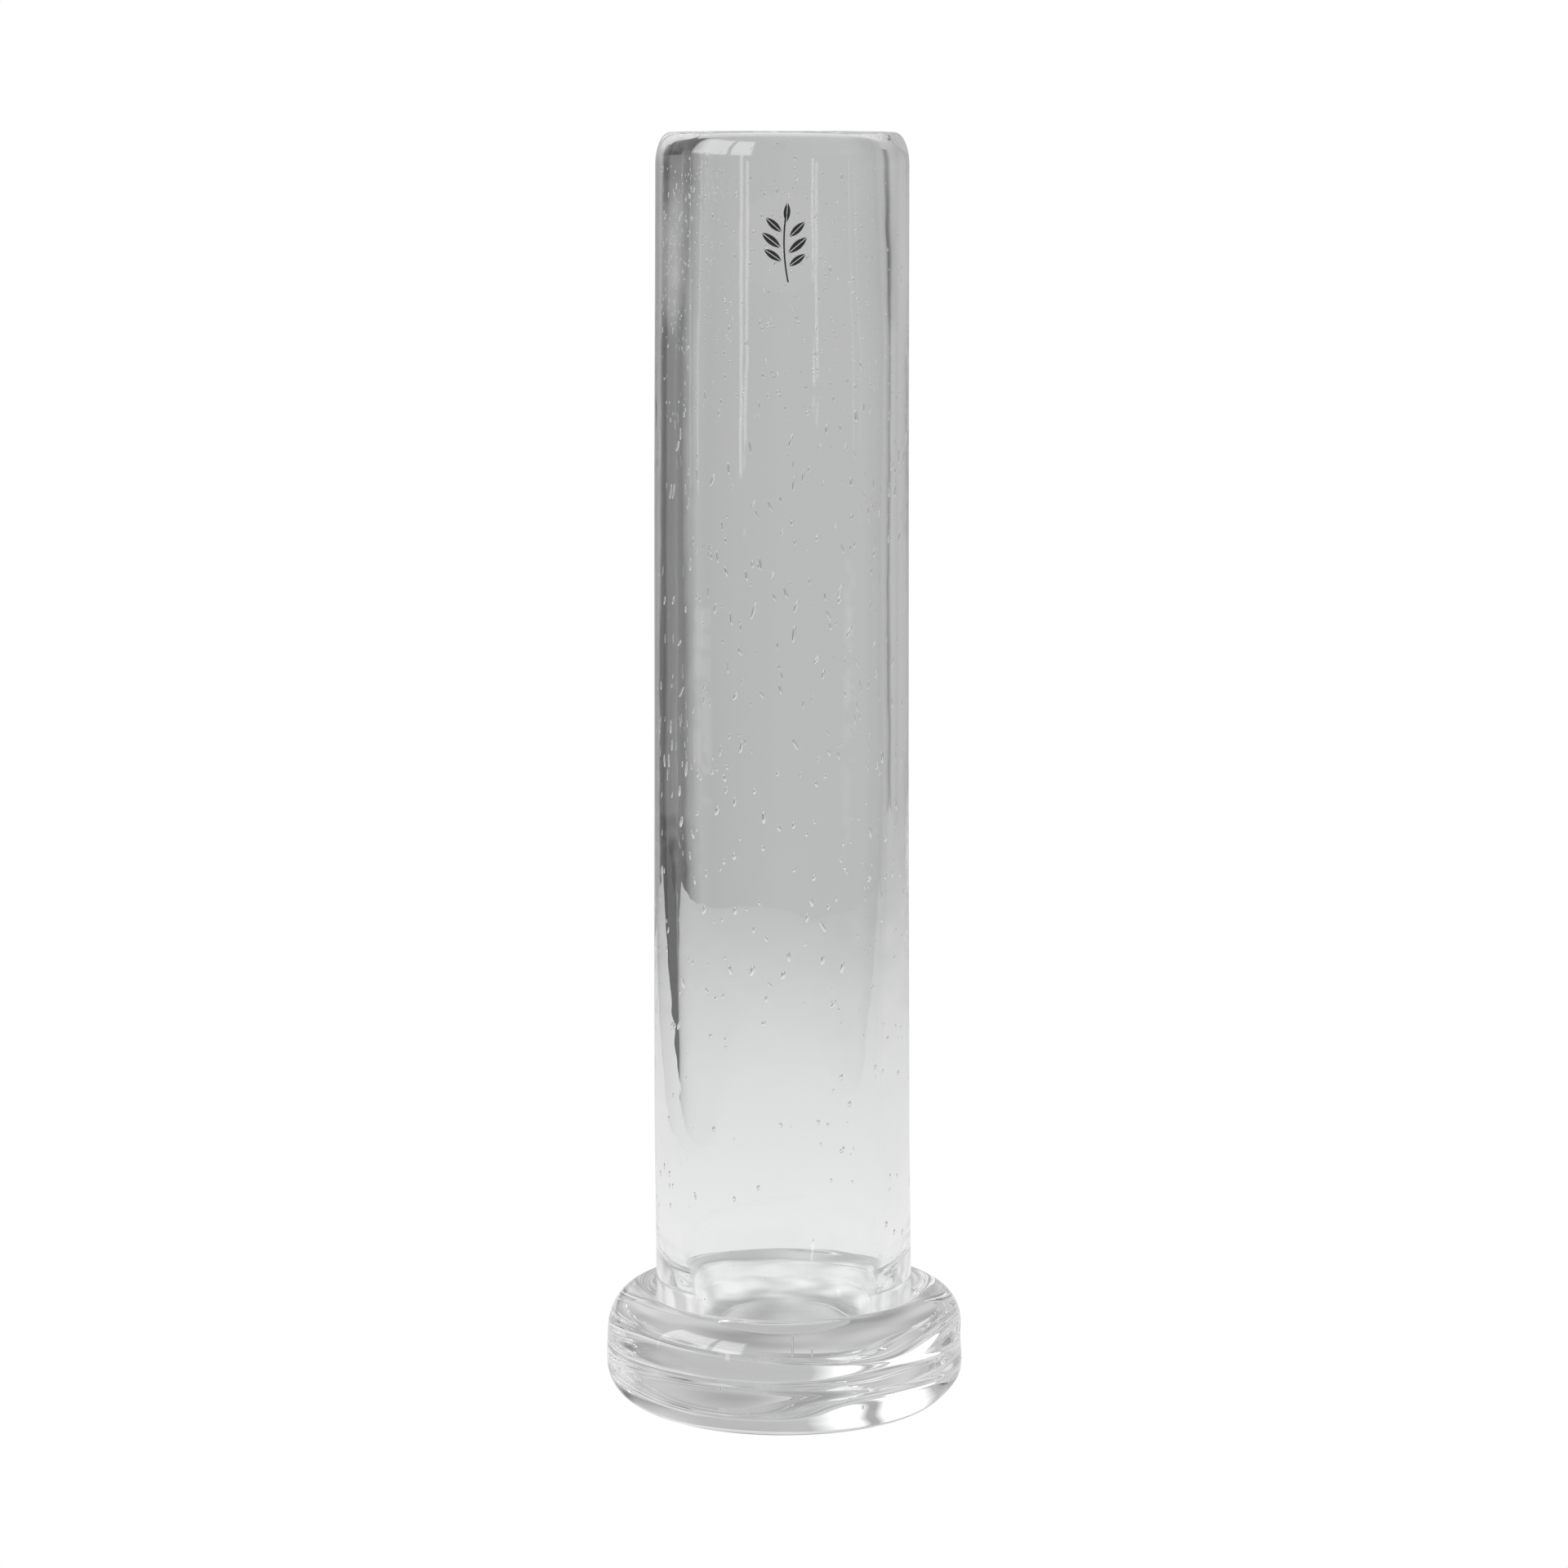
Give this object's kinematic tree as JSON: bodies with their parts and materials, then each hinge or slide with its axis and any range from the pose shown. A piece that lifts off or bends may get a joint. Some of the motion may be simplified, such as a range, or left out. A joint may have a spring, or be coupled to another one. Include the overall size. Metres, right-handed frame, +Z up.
{
  "type": "glass bud vase",
  "caption": "Slim cylindrical bud vase of thick seeded clear glass, open at the top, on a solid round clear-glass foot, with a small clear round label near the rim.",
  "frame": {"origin": "centre of the foot's underside, on the surface that the vase stands on", "axes": "+Z up along the tube's axis; the label faces -Y"},
  "size_m": [0.0646, 0.0646, 0.23],
  "materials": {
    "tube_glass": "clear blown glass with seeds, fire-polished",
    "foot_glass": "clear solid glass, fire-polished",
    "label_film": "clear film with a dark printed sprig"
  },
  "bodies": {
    "root": {"vase_tube": "tube_glass", "foot_disc": "foot_glass", "label": "label_film"}
  },
  "joints": []
}
